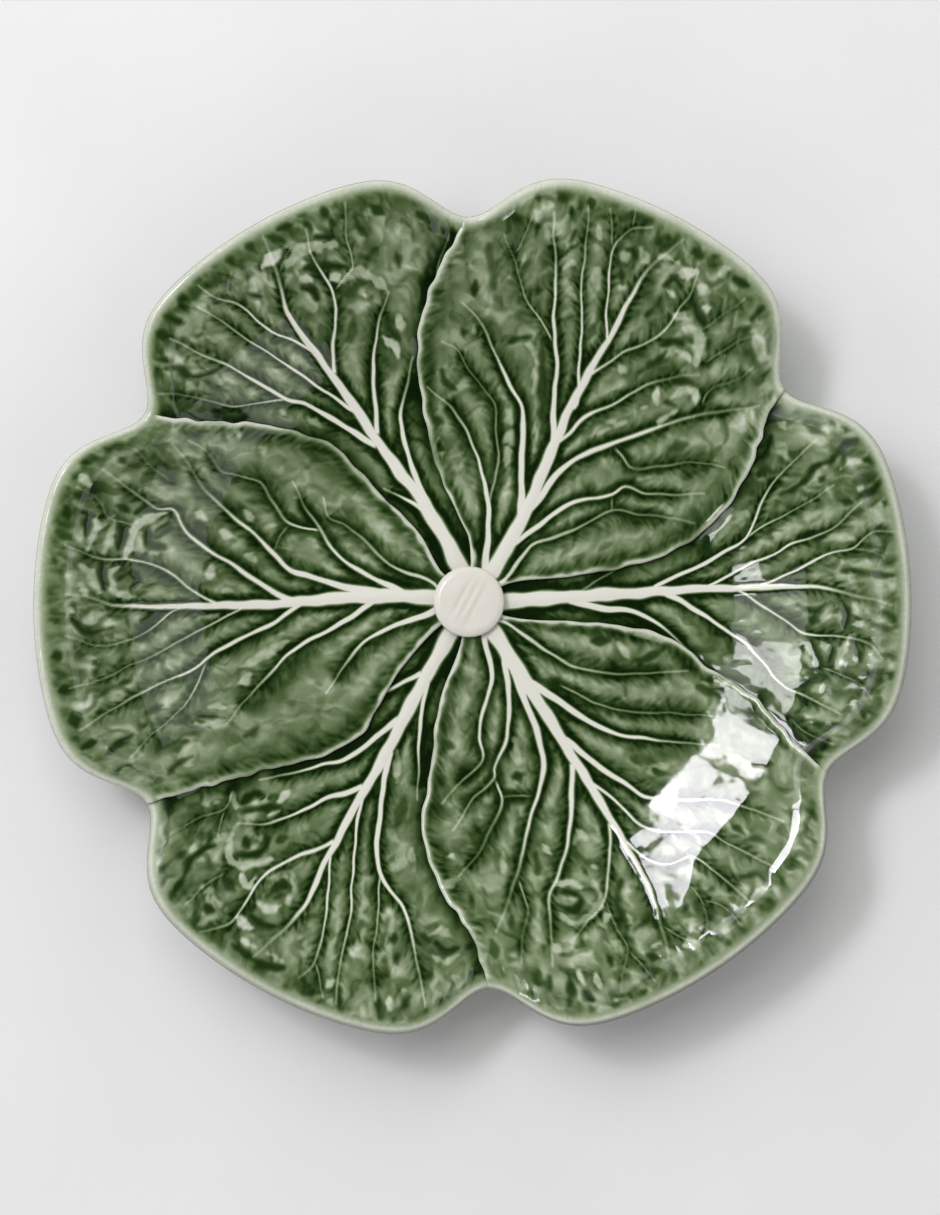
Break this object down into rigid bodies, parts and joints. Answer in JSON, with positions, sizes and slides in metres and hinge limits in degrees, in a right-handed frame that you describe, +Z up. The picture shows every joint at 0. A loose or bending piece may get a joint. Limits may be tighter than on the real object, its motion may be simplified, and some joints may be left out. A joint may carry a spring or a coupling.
{
  "type": "leaf serving dish",
  "caption": "Open shallow round dish of lapped cabbage leaves in relief round a cut stem, on a foot ring, for serving soup, salad or fruit.",
  "frame": {"origin": "on the surface the dish stands on, under the middle of its outline", "axes": "+Z up out of the dish; +X and +Y are right and up in a straight-down view, with one leaf's midrib along +X"},
  "size_m": [0.2649, 0.2577, 0.0347],
  "materials": {
    "green_glaze": "glossy translucent green glaze that pools dark in the hollows and thins to cream on the veins",
    "cream_glaze": "glossy cream glaze",
    "bare_clay": "smooth unglazed earthenware on the foot's tread"
  },
  "bodies": {
    "root": {"over_leaf_1": "green_glaze", "over_leaf_2": "green_glaze", "over_leaf_3": "green_glaze", "under_leaf_1": "green_glaze", "under_leaf_2": "green_glaze", "under_leaf_3": "green_glaze", "stem_button": "cream_glaze", "foot_ring": "bare_clay"}
  },
  "joints": []
}
